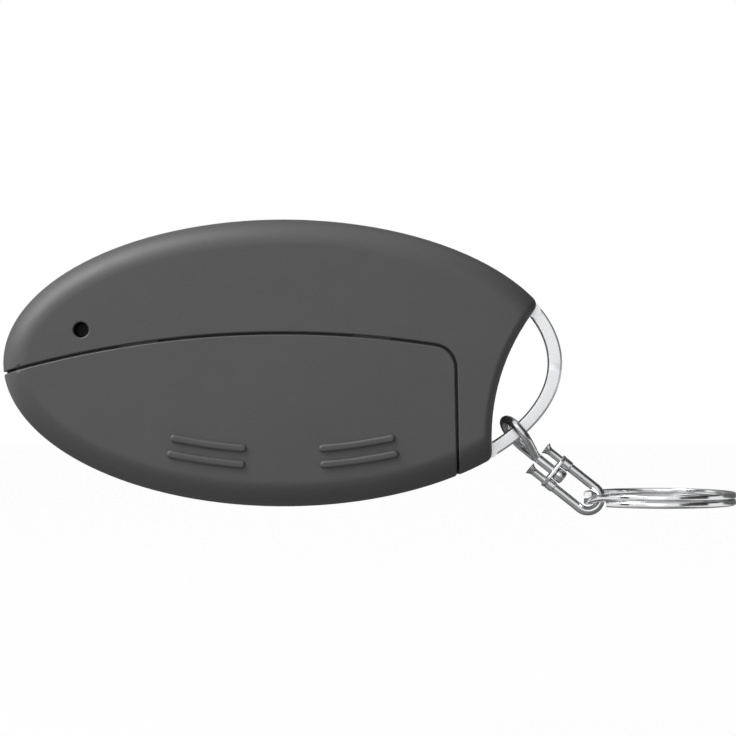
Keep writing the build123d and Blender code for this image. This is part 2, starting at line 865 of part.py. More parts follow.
def all_nodes():
    nodes = {
        "back_shell": back_shell(),
        "battery_cover": battery_cover(),
        "front_shell": front_shell(),
        "key_loop": key_loop(),
        "circuit_board": circuit_board(),
        "key_switch_bodies": switch_bodies(),
        "learn_switch_body": learn_switch(),
        "learn_switch_stem": learn_stem(),
        "light_guide": light_guide(),
        "status_lamp": status_lamp(),
        "control_chip": control_chip(),
        "crystal_can": crystal_can(),
        "radio_filter_can": filter_can(),
        "antenna_track": antenna(),
        "coin_cell": coin_cell(),
        "minus_contact": minus_contact(),
        "plus_contact": plus_contact(),
        "case_screws": case_screws(),
        "eye_link": eye_link(),
        "saddle_plate": saddle_plate(),
        "ring_link": ring_link(),
        "split_ring": split_ring(),
    }
    for index, place in enumerate(("upper_left", "upper_right", "lower_left", "lower_right")):
        nodes[f"key_{place}"] = key(index)
        nodes[f"switch_stem_{place}"] = switch_stem(index)
    return nodes


os.makedirs("parts", exist_ok=True)
for name, shape in all_nodes().items():
    export_step(Compound(children=shape.solids()), f"parts/{name}.step")
    print(name, len(shape.solids()), round(shape.volume, 2))
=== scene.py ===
# %% [markdown]
# # A key fob transmitter, seen from the rear
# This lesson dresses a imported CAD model. The CAD solids give every size and place. Blender adds smooth
# wire and ring meshes, rounded corners along the seam, and the finish of plastic, chrome and satin metal.

import json
from math import cos, pi, radians, sin, tan

import bmesh
import bpy
from mathutils import Matrix, Vector


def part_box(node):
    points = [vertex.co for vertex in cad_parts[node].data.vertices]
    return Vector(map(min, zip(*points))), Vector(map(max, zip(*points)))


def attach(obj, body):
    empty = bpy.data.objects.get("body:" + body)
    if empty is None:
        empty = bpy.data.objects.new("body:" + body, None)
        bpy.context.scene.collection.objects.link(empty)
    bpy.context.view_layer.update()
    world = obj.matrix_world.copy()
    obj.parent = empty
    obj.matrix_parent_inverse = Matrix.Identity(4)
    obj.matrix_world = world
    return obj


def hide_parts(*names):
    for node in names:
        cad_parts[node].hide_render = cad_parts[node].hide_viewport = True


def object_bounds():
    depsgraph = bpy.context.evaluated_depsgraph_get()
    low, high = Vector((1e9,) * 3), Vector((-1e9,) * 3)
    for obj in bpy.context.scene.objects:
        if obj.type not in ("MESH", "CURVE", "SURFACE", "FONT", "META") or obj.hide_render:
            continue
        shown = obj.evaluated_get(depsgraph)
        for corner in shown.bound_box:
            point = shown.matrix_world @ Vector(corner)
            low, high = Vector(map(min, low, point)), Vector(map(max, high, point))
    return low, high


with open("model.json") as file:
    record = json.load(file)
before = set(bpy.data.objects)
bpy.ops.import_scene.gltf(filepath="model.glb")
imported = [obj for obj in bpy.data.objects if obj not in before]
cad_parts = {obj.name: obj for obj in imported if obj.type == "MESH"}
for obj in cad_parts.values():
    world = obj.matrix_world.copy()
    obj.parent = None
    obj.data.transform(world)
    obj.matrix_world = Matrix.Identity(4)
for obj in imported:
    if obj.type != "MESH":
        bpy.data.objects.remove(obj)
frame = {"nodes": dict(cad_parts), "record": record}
cad_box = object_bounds()
MM = 0.001
nodes = frame["nodes"]
print("nodes in the frame:", len(nodes))

# %% [markdown]
# Materials come first. Each one is a small node tree on Object coordinates, because every finished
# piece has its object at the origin, so the pattern keeps still on the part whatever the view.

# %% A helper that starts a material
def new_material(name, colour, roughness, metallic=0.0):
    """A Principled material, with its node tree, its shader and its coordinates."""
    material = bpy.data.materials.new(name)
    material.use_nodes = True
    tree = material.node_tree
    shader = tree.nodes["Principled BSDF"]
    shader.inputs["Base Color"].default_value = (*colour, 1.0)
    shader.inputs["Roughness"].default_value = roughness
    shader.inputs["Metallic"].default_value = metallic
    coordinates = tree.nodes.new("ShaderNodeTexCoord")
    return material, tree, shader, coordinates


def noise(tree, coordinates, scale, detail=2.0):
    texture = tree.nodes.new("ShaderNodeTexNoise")
    texture.inputs["Scale"].default_value = scale
    texture.inputs["Detail"].default_value = detail
    tree.links.new(coordinates.outputs["Object"], texture.inputs["Vector"])
    return texture


def map_range(tree, source, low, high):
    ranged = tree.nodes.new("ShaderNodeMapRange")
    ranged.inputs["To Min"].default_value = low
    ranged.inputs["To Max"].default_value = high
    tree.links.new(source, ranged.inputs["Value"])
    return ranged.outputs["Result"]


def tint(tree, shader, source, dark, light):
    """Colour that wanders a little between two close shades."""
    mix = tree.nodes.new("ShaderNodeMix")
    mix.data_type = "RGBA"
    mix.inputs["A"].default_value = (*dark, 1.0)
    mix.inputs["B"].default_value = (*light, 1.0)
    tree.links.new(source, mix.inputs["Factor"])
    tree.links.new(mix.outputs["Result"], shader.inputs["Base Color"])


def bump(tree, shader, source, strength, distance):
    node = tree.nodes.new("ShaderNodeBump")
    node.inputs["Strength"].default_value = strength
    node.inputs["Distance"].default_value = distance
    tree.links.new(source, node.inputs["Height"])
    tree.links.new(node.outputs["Normal"], shader.inputs["Normal"])


# %% [markdown]
# The case is charcoal plastic with a fine spark-eroded grain: a fine bump of about 0.15 mm, a slow
# change of shade, and a roughness that wanders, so broad highlights stay soft.

# %% Moulded plastic
SHADE_SCALE, ROUGH_SCALE, GRAIN_SCALE = 60.0, 400.0, 7000.0
GRAIN_STRENGTH, GRAIN_DEPTH = 0.25, 0.00002
PLASTIC_SHINE = 0.45


def moulded_plastic(name, dark, light, rough_low, rough_high, grain=GRAIN_SCALE):
    material, tree, shader, coordinates = new_material(name, light, rough_high)
    slow = noise(tree, coordinates, SHADE_SCALE, detail=3.0)
    tint(tree, shader, slow.outputs["Fac"], dark, light)
    fine = noise(tree, coordinates, grain, detail=1.0)
    wander = noise(tree, coordinates, ROUGH_SCALE)
    rough = map_range(tree, wander.outputs["Fac"], rough_low, rough_high)
    tree.links.new(rough, shader.inputs["Roughness"])
    bump(tree, shader, fine.outputs["Fac"], GRAIN_STRENGTH, GRAIN_DEPTH)
    shader.inputs["Specular IOR Level"].default_value = PLASTIC_SHINE
    return material


charcoal = moulded_plastic(
    "charcoal_plastic", dark=(0.051, 0.051, 0.0515), light=(0.060, 0.060, 0.061),
    rough_low=0.42, rough_high=0.54,
)
key_grey = moulded_plastic(
    "key_plastic", dark=(0.30, 0.31, 0.32), light=(0.34, 0.35, 0.36),
    rough_low=0.38, rough_high=0.5, grain=5000.0,
)
nylon = moulded_plastic(
    "stem_nylon", dark=(0.68, 0.67, 0.63), light=(0.74, 0.73, 0.69), rough_low=0.35, rough_high=0.45,
)
black_epoxy = moulded_plastic(
    "black_epoxy", dark=(0.016, 0.016, 0.018), light=(0.024, 0.024, 0.026), rough_low=0.5, rough_high=0.65,
)
print("moulded plastics:", [material.name for material in (charcoal, key_grey, nylon, black_epoxy)])

# %% [markdown]
# Bright metal needs little but a clean surface: faint polishing marks in the roughness. The wire and the
# plate are barrelled, so they are a shade darker and softer than the ring. The bow is blasted before it
# is plated, which makes it paler and rougher, with a fine grain.

# %% Metals
MARKS_STRENGTH, MARKS_DEPTH = 0.1, 0.00001


def metal(name, colour, rough_low, rough_high, scale, depth=MARKS_DEPTH, metallic=1.0):
    material, tree, shader, coordinates = new_material(name, colour, rough_low, metallic)
    marks = noise(tree, coordinates, scale, detail=4.0)
    rough = map_range(tree, marks.outputs["Fac"], rough_low, rough_high)
    tree.links.new(rough, shader.inputs["Roughness"])
    bump(tree, shader, marks.outputs["Fac"], MARKS_STRENGTH, depth)
    return material


chrome = metal(
    "bright_nickel", (0.78, 0.785, 0.795), rough_low=0.1, rough_high=0.2, scale=2500.0, depth=0.000002,
)
barrelled = metal(
    "barrelled_nickel", (0.68, 0.685, 0.695), rough_low=0.16, rough_high=0.28, scale=1800.0, depth=0.000004,
)
satin = metal(
    "satin_nickel", (0.77, 0.775, 0.785), rough_low=0.27, rough_high=0.35, scale=6000.0, metallic=0.8,
)
steel = metal("dull_steel", (0.40, 0.40, 0.41), rough_low=0.25, rough_high=0.4, scale=1500.0)
spring_plate = metal("contact_nickel", (0.72, 0.68, 0.58), rough_low=0.2, rough_high=0.35, scale=1500.0)
copper = metal("tinned_copper", (0.72, 0.45, 0.27), rough_low=0.3, rough_high=0.45, scale=2500.0)
print("metals:", [material.name for material in (chrome, barrelled, satin, steel, spring_plate, copper)])

# %% [markdown]
# The small parts come next: the green board with a faint glass weave, the clear light guide that shows
# in the button face, and the lamp behind it. A table then says which finish each slot of the record gets.

# %% Board, light guide and lamp
def laminate():
    green = (0.02, 0.16, 0.07)
    material, tree, shader, coordinates = new_material("green_laminate", green, roughness=0.4)
    weave = tree.nodes.new("ShaderNodeTexVoronoi")
    weave.inputs["Scale"].default_value = 900.0
    tree.links.new(coordinates.outputs["Object"], weave.inputs["Vector"])
    tint(tree, shader, weave.outputs["Distance"], dark=(0.012, 0.11, 0.045), light=(0.025, 0.2, 0.09))
    bump(tree, shader, weave.outputs["Distance"], strength=0.1, distance=0.00002)
    return material


def clear_plastic():
    pale = (0.9, 0.93, 0.95)
    material, tree, shader, coordinates = new_material("clear_acrylic", pale, roughness=0.08)
    cloud = noise(tree, coordinates, scale=300.0)
    rough = map_range(tree, cloud.outputs["Fac"], low=0.05, high=0.12)
    tree.links.new(rough, shader.inputs["Roughness"])
    shader.inputs["Transmission Weight"].default_value = 0.85
    shader.inputs["IOR"].default_value = 1.49
    return material


board_green = laminate()
clear = clear_plastic()
lamp_white = moulded_plastic(
    "lamp_epoxy", dark=(0.78, 0.78, 0.7), light=(0.86, 0.86, 0.8), rough_low=0.3, rough_high=0.4,
)
finishes = {
    "charcoal_case": charcoal,
    "grey_key": key_grey,
    "satin_bow": satin,
    "bright_chain": chrome,
    "green_board": board_green,
    "black_parts": black_epoxy,
    "switch_stem": nylon,
    "steel_parts": steel,
    "spring_contact": spring_plate,
    "copper_track": copper,
    "clear_light": clear,
    "lamp": lamp_white,
}
slot_of = {entry["node"]: entry["material_slot"] for entry in frame["record"]["subparts"]}
print("materials:", len(finishes))

# %% [markdown]
# Every visible piece stands for a CAD node, rides on that node's body and wears the finish of its slot or
# one of
# its own. A few helpers serve all of them: they give a piece its finish and body, hide the CAD node it
# stands for, smooth its faces, and keep its real corners sharp.

# %% Helpers that every piece uses
bodies = frame["record"]["behaviour"]["bodies"]
body_of = {name: body for body, group in bodies.items() for name in group}
OWN_FINISH = {"saddle_plate": barrelled, "eye_link": barrelled, "ring_link": barrelled}


def place_piece(piece, name):
    """The last steps for a piece that stands for a CAD node, in its slot's finish or one of its own."""
    piece.data.materials.clear()
    piece.data.materials.append(OWN_FINISH.get(name, finishes[slot_of[name]]))
    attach(piece, body_of[name])
    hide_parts(name)


def smooth_by_angle(work, limit):
    """Smooth faces, with the edges sharp where two faces meet at more than the limit."""
    for face in work.faces:
        face.smooth = True
    for edge in work.edges:
        edge.smooth = len(edge.link_faces) == 2 and edge.calc_face_angle(0.0) < limit


def linked_object(name, data):
    thing = bpy.data.objects.new(name, data)
    bpy.context.scene.collection.objects.link(thing)
    return thing


def weigh_normals(piece, weight):
    """Normals weighted by face area, so that a flat face beside a round edge stays flat."""
    weigh = piece.modifiers.new("weighted_normals", "WEIGHTED_NORMAL")
    weigh.keep_sharp = True
    weigh.weight = weight


print("pieces with a finish of their own:", sorted(OWN_FINISH))

# %% [markdown]
# A CAD node comes as loose triangles with flat shading. A copy is merged and smoothed. Moulded parts have
# no knife edges, so the corners of the rear skin along the seam are rounded too. Only outward corners of
# that skin are marked for it: the ribs and posts inside are thin, and rounding would tear them.

# %% Smooth copies of the CAD solids
COPY_ANGLE, CORNER_ANGLE, FLAT_ANGLE = radians(32.0), radians(50.0), radians(0.5)
COPY_WELD, COPY_WEIGHT = 0.002 * MM, 80
REARWARD = -0.99
REMADE = {"coin_cell", "eye_link", "ring_link", "split_ring"}
SOFT_EDGES = {"back_shell": 0.15, "battery_cover": 0.15, "saddle_plate": 0.1}


def mark_outer_edges(work):
    """Gives a bevel weight to the outward corners of the skin that spreads from the largest rear face."""
    rear_faces = [face for face in work.faces if face.normal.y < REARWARD]
    seed = max(rear_faces, key=lambda face: face.calc_area())
    skin, waiting = {seed}, [seed]
    while waiting:
        for edge in waiting.pop().edges:
            for face in edge.link_faces:
                if edge.smooth and face not in skin:
                    skin.add(face)
                    waiting.append(face)
    weight = work.edges.layers.float.new("bevel_weight_edge")
    for face in skin:
        for edge in face.edges:
            if not edge.smooth and edge.calc_face_angle_signed(0.0) > CORNER_ANGLE:
                edge[weight] = 1.0


def smooth_copy(name, edge_round):
    mesh = nodes[name].data.copy()
    mesh.name = f"{name}_skin"
    work = bmesh.new()
    work.from_mesh(mesh)
    bmesh.ops.remove_doubles(work, verts=work.verts, dist=COPY_WELD)
    if edge_round:
        bmesh.ops.dissolve_limit(work, angle_limit=FLAT_ANGLE, verts=work.verts, edges=work.edges)
    smooth_by_angle(work, COPY_ANGLE)
    if edge_round:
        mark_outer_edges(work)
    work.to_mesh(mesh)
    work.free()
    piece = linked_object(f"{name}_skin", mesh)
    if edge_round:
        soften = piece.modifiers.new("soft_edges", "BEVEL")
        soften.width = edge_round * MM
        soften.segments = 2
        soften.limit_method = "WEIGHT"
        soften.use_clamp_overlap = False
    weigh_normals(piece, COPY_WEIGHT)
    place_piece(piece, name)


for name in sorted(set(nodes) - REMADE):
    smooth_copy(name, SOFT_EDGES.get(name, 0.0))
print("smooth copies:", len(nodes) - len(REMADE))

# %% [markdown]
# The chain is bright round wire, and facets would show in it at once. So its pieces are made again at a
# finer step than the CAD mesh, from the same sizes. A wire follows a path: Geometry Nodes turn a line of
# points into a curve, give it a round profile and close its ends. The tree has named inputs, so the eye
# and the ring link share it.

# %% A tree that draws round wire along a path
def start_tree(name, sockets):
    """An empty Geometry Nodes group with named inputs, and its two end nodes."""
    tree = bpy.data.node_groups.new(name, "GeometryNodeTree")
    tree.interface.new_socket("Geometry", in_out="OUTPUT", socket_type="NodeSocketGeometry")
    tree.interface.new_socket("Geometry", in_out="INPUT", socket_type="NodeSocketGeometry")
    for label, kind in sockets:
        tree.interface.new_socket(label, in_out="INPUT", socket_type=kind)
    return tree, tree.nodes.new("NodeGroupInput"), tree.nodes.new("NodeGroupOutput")


def chain_nodes(tree, *nodes_in_line):
    """Links nodes one after another by their first geometry sockets."""
    for before, after in zip(nodes_in_line, nodes_in_line[1:]):
        out = next(s for s in before.outputs if s.type == "GEOMETRY")
        into = next(s for s in after.inputs if s.type == "GEOMETRY")
        tree.links.new(out, into)


def wire_tree():
    tree, start, end = start_tree("round_wire", [
        ("Radius", "NodeSocketFloat"), ("Sides", "NodeSocketInt"), ("Material", "NodeSocketMaterial"),
    ])
    to_curve = tree.nodes.new("GeometryNodeMeshToCurve")
    profile = tree.nodes.new("GeometryNodeCurvePrimitiveCircle")
    sweep = tree.nodes.new("GeometryNodeCurveToMesh")
    realize = tree.nodes.new("GeometryNodeRealizeInstances")
    finish = tree.nodes.new("GeometryNodeSetMaterial")
    sweep.inputs["Fill Caps"].default_value = True
    tree.links.new(start.outputs["Radius"], profile.inputs["Radius"])
    tree.links.new(start.outputs["Sides"], profile.inputs["Resolution"])
    tree.links.new(start.outputs["Material"], finish.inputs["Material"])
    tree.links.new(profile.outputs["Curve"], sweep.inputs["Profile Curve"])
    chain_nodes(tree, start, to_curve, sweep, realize, finish, end)
    return tree


def run_tree(tree, points, values):
    """Runs a tree on a line of points and returns the plain mesh that it makes."""
    path = bpy.data.meshes.new("path")
    path.from_pydata(points, [(i, i + 1) for i in range(len(points) - 1)], [])
    carrier = linked_object("carrier", path)
    modifier = carrier.modifiers.new("nodes", "NODES")
    modifier.node_group = tree
    for item in tree.interface.items_tree:
        if item.in_out == "INPUT" and item.name in values:
            modifier[item.identifier] = values[item.name]
    depsgraph = bpy.context.evaluated_depsgraph_get()
    mesh = bpy.data.meshes.new_from_object(carrier.evaluated_get(depsgraph))
    bpy.data.objects.remove(carrier)
    return mesh


round_wire = wire_tree()
print("inputs of the wire tree:", [item.name for item in round_wire.interface.items_tree])

# %% [markdown]
# A piece may be several closed shells pressed into each other, as soldered wire is. One helper joins
# the shells, welds their seams, points every face outwards, and keeps only real corners sharp. The other
# is a lathe: it spins a profile about a line.

# %% Joining shells, and a lathe
JOIN_ANGLE, JOIN_WEIGHT = radians(35.0), 50
JOIN_WELD, LATHE_WELD = 0.0005 * MM, 0.0002 * MM


def joined_piece(name, shells):
    work = bmesh.new()
    for shell in shells:
        work.from_mesh(shell)
    bmesh.ops.remove_doubles(work, verts=work.verts, dist=JOIN_WELD)
    bmesh.ops.recalc_face_normals(work, faces=work.faces)
    smooth_by_angle(work, JOIN_ANGLE)
    mesh = bpy.data.meshes.new(name)
    work.to_mesh(mesh)
    work.free()
    piece = linked_object(name, mesh)
    weigh_normals(piece, JOIN_WEIGHT)
    return piece


def turned(profile, origin, direction, side, steps=64):
    """A profile of (distance along the axis, radius) pairs in millimetres, spun about a line."""
    work = bmesh.new()
    points = [
        work.verts.new((origin + direction * along + side * radius) * MM) for along, radius in profile
    ]
    edges = [work.edges.new(pair) for pair in zip(points, points[1:])]
    bmesh.ops.spin(
        work, geom=points + edges, cent=origin * MM, axis=direction,
        angle=2 * pi, steps=steps, use_merge=True,
    )
    bmesh.ops.remove_doubles(work, verts=work.verts, dist=LATHE_WELD)
    mesh = bpy.data.meshes.new("turned")
    work.to_mesh(mesh)
    work.free()
    return mesh


def quarter_turn(steps):
    """Angles from zero to a right angle."""
    return [pi / 2 * step / steps for step in range(steps + 1)]


# %% [markdown]
# The coin cell comes first, because it is a plain turned form. Its pressed can has a shallow dish in the
# face that shows, a rolled edge, and a smaller cap on the hidden side. Its steel keeps the faint rings
# that the press leaves, drawn round the middle of the cell.

# %% Coin cell
def ringed_steel(centre):
    grey = (0.42, 0.42, 0.43)
    material, tree, shader, coordinates = new_material("ringed_steel", grey, roughness=0.3, metallic=1.0)
    shift = tree.nodes.new("ShaderNodeVectorMath")
    shift.operation = "SUBTRACT"
    shift.inputs[1].default_value = centre
    tree.links.new(coordinates.outputs["Object"], shift.inputs[0])
    rings = tree.nodes.new("ShaderNodeTexWave")
    rings.wave_type = "RINGS"
    rings.rings_direction = "Y"
    rings.inputs["Scale"].default_value = 900.0
    rings.inputs["Distortion"].default_value = 1.5
    rings.inputs["Detail"].default_value = 2.0
    tree.links.new(shift.outputs["Vector"], rings.inputs["Vector"])
    rough = map_range(tree, rings.outputs["Fac"], low=0.26, high=0.4)
    tree.links.new(rough, shader.inputs["Roughness"])
    tint(tree, shader, rings.outputs["Fac"], dark=(0.38, 0.38, 0.39), light=(0.45, 0.45, 0.46))
    bump(tree, shader, rings.outputs["Fac"], strength=0.15, distance=0.00001)
    return material


low, high = (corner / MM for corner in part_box("coin_cell"))
cell_middle = Vector(((low.x + high.x) / 2, low.y, (low.z + high.z) / 2))
radius, thick = (high.x - low.x) / 2, high.y - low.y
DISH_DEPTH, DISH_FOOT, DISH_RIM = 0.06, 0.82, 0.84
ROLLED, LAND = 0.3, 0.05
# Steps in from the hidden face and from the rim, in millimetres.
CRIMP = [(0.6, 0.0), (0.42, 0.06), (0.34, 0.2), (0.32, 0.55)]
SEAL_GROOVE = [(0.5, 0.6), (0.5, 0.85)]
CAP_RIM = [(0.12, 0.92), (0.03, 1.02), (0.0, 1.2)]
profile = [(DISH_DEPTH, 0.0), (DISH_DEPTH, radius * DISH_FOOT), (0.0, radius * DISH_RIM)]
profile.append((0.0, radius - LAND - ROLLED))
profile += [
    (ROLLED * (1 - cos(angle)), radius - ROLLED * (1 - sin(angle))) for angle in quarter_turn(6)
]
profile += [(thick - back, radius - inward) for back, inward in CRIMP + SEAL_GROOVE + CAP_RIM]
profile.append((thick, 0.0))
cell_mesh = turned(profile, cell_middle, Vector((0, 1, 0)), Vector((1, 0, 0)), steps=96)
cell = joined_piece("coin_cell_turned", [cell_mesh])
OWN_FINISH["coin_cell"] = ringed_steel(cell_middle * MM)
place_piece(cell, "coin_cell")
print("cell across and thick, mm:", [round(v / MM, 2) for v in cell.dimensions])

# %% [markdown]
# The eye hangs square to the bow, and the ring link hangs at a flatter angle below it. These directions
# and places repeat the sizes of the CAD solids, in millimetres.

# %% Places along the chain
HALF_LENGTH, HALF_HEIGHT, BOW_HALF_WIDTH = 36.7, 18.8, 0.95
BOW_LENGTH, BOW_HEIGHT = HALF_LENGTH - BOW_HALF_WIDTH, HALF_HEIGHT - BOW_HALF_WIDTH
HANG, CHAIN_DROP = radians(31.2), radians(38.5)
hang = Vector((BOW_LENGTH * cos(HANG), 0.0, -BOW_HEIGHT * sin(HANG)))
down = Vector((cos(HANG) / BOW_LENGTH, 0.0, -sin(HANG) / BOW_HEIGHT)).normalized()
along_chain = Vector((cos(CHAIN_DROP), 0.0, -sin(CHAIN_DROP)))
across = Vector((sin(CHAIN_DROP), 0.0, cos(CHAIN_DROP)))
HANG_REACH, EYE_SHANK, RING_REACH = 3.85, 3.3, 5.75
PLATE_HALF = 0.45 / 2
kink = hang + down * HANG_REACH
plate = kink + along_chain * EYE_SHANK
ring_hinge = plate + along_chain * RING_REACH
print("plate centre in mm:", [round(v, 2) for v in plate])

# %% [markdown]
# The eye is one wire: up from the shank, round the bow in a half circle, and back. The path is drawn as
# straight runs and true arcs, so the highlights run along it without a break. A ball carries the shank,
# which turns in the plate and ends in a round head on the other side of it.

# %% Eye link
def rounded_path(corners, radius, steps=10):
    """Straight runs through corners, each corner replaced by an arc of a radius."""
    points = [Vector(corners[0])]
    for before, corner, after in zip(corners, corners[1:], corners[2:]):
        corner = Vector(corner)
        back = (Vector(before) - corner).normalized()
        ahead = (Vector(after) - corner).normalized()
        half = back.angle(ahead) / 2
        middle = corner + (back + ahead).normalized() * radius / sin(half)
        start = corner + back * radius / tan(half)
        end = corner + ahead * radius / tan(half)
        for index in range(steps + 1):
            spoke = (start - middle).slerp(end - middle, index / steps)
            points.append(middle + spoke.normalized() * radius)
    points.append(Vector(corners[-1]))
    return points


def half_turn(radius, height, start, steps):
    """Points on a half circle above a height, from +X (start 1) or from -X (start -1), ends left out."""
    angles = [pi * step / steps for step in range(1, steps)]
    return [Vector((start * radius * cos(a), height + radius * sin(a), 0)) for a in angles]


def round_mesh(points, radius):
    return run_tree(round_wire, points, {"Radius": radius * MM, "Sides": 32, "Material": barrelled})


EYE_WIRE, EYE_TURN, EYE_TWIST = 1.2, 1.8, radians(20.0)
EYE_SPREAD, EYE_SLACK = 2.6, 0.37
EYE_RISE = HANG_REACH + EYE_SLACK
EYE_FOOT, EYE_LEG_ROUND = (0.12, -0.3, 0), 3.0
eye_side = Vector((0.0, cos(EYE_TWIST), 0.0)) - Vector((-down.z, 0.0, down.x)) * sin(EYE_TWIST)


def eye_path():
    leg = rounded_path([EYE_FOOT, (EYE_TURN, EYE_SPREAD, 0), (EYE_TURN, EYE_RISE, 0)], EYE_LEG_ROUND)
    mirrored = [Vector((-p.x, p.y, 0)) for p in reversed(leg)]
    flat = leg + half_turn(EYE_TURN, EYE_RISE, start=1, steps=48) + mirrored
    return [(kink + eye_side * p.x - down * p.y) * MM for p in flat]


SHANK, HEAD, HEAD_HEIGHT, HEAD_PLAY = 0.62, 0.88, 1.3, 0.12
head_top = -(PLATE_HALF + HEAD_PLAY)
# Steps down from the head's top and in from its rim.
HEAD_ROUND = [
    (HEAD_HEIGHT, HEAD), (HEAD_HEIGHT, 0.2), (HEAD_HEIGHT - 0.06, 0.08), (HEAD_HEIGHT - 0.2, 0.0),
    (0.16, 0.0), (0.05, 0.05), (0.0, 0.16), (0.0, HEAD - SHANK),
]
head = [(head_top - below, HEAD - inward) for below, inward in HEAD_ROUND]
ball = [(EYE_SHANK + SHANK * sin(angle), SHANK * cos(angle)) for angle in quarter_turn(10)]
shank = turned(head + ball, plate, -along_chain, across)
eye_wire = round_mesh(eye_path(), EYE_WIRE / 2)
eye = joined_piece("eye_wire", [eye_wire, shank])
place_piece(eye, "eye_link")
print("faces in the eye:", len(eye.data.polygons))

# %% [markdown]
# The ring link is a bent wire with two legs. Each leg has a collar under the plate, a thinner neck
# through it, and a flared cup punched in its end so that it can't pull out.

# %% Ring link
LEG, WIRE, NECK, FLARE, COLLAR = 1.7, 0.6, 0.5, 0.85, 0.74
LEG_ABOVE, LEG_START = 2.5, 0.9
LEG_TOP = PLATE_HALF + LEG_ABOVE
FLARE_LENGTH, FLARE_POWER = 0.8, 1.6
LIP_DROP, LIP_SHARE = 0.02, 0.93
CUP_MOUTH, CUP_EDGE, CUP_DEPTH, CUP_BOTTOM = 0.8, 0.03, 0.37, 0.42
cup_floor, cup_wall = NECK / 2, FLARE * CUP_MOUTH
# Steps away from the plate and in from the collar's rim.
COLLAR_ROUND = [
    (1.18, COLLAR), (1.18, COLLAR - WIRE), (1.1, 0.05), (1.04, 0.0),
    (0.07, 0.0), (0.01, 0.05), (0.0, 0.09), (0.0, COLLAR - NECK),
]


def leg_end(side):
    """Collar, neck and cup of one leg, turned about its own line."""
    origin = plate + across * (side * LEG)
    profile = [(-PLATE_HALF - away, COLLAR - inward) for away, inward in COLLAR_ROUND]
    profile.append((PLATE_HALF, NECK))
    for share in (step / 8 for step in range(9)):
        rise = LEG_TOP - FLARE_LENGTH + FLARE_LENGTH * share
        profile.append((rise, NECK + (FLARE - NECK) * share**FLARE_POWER))
    profile += [(LEG_TOP - LIP_DROP, FLARE * LIP_SHARE), (LEG_TOP - CUP_EDGE, cup_wall)]
    for share in (step / 6 for step in range(1, 7)):
        sunk = LEG_TOP - CUP_EDGE - CUP_DEPTH * sin(pi / 2 * share)
        profile.append((sunk, cup_floor + (cup_wall - cup_floor) * (1 - share)))
    profile.append((LEG_TOP - CUP_BOTTOM, 0.0))
    return turned(profile, origin, -along_chain, across)


def link_path():
    left = [Vector((-LEG, LEG_START, 0)), Vector((-LEG, RING_REACH, 0))]
    right = [Vector((LEG, RING_REACH, 0)), Vector((LEG, LEG_START, 0))]
    flat = left + half_turn(LEG, RING_REACH, start=-1, steps=40) + right
    return [(plate + across * p.x + along_chain * p.y) * MM for p in flat]


link_wire = round_mesh(link_path(), WIRE)
link = joined_piece("ring_link_wire", [link_wire, leg_end(-1), leg_end(1)])
place_piece(link, "ring_link")
print("faces in the link:", len(link.data.polygons))

# %% [markdown]
# The split ring follows a rule: almost two flat turns with one step between them. A tree with the turn,
# the step and the strip as inputs lays points on that line and sweeps a strip with soft edges along it.

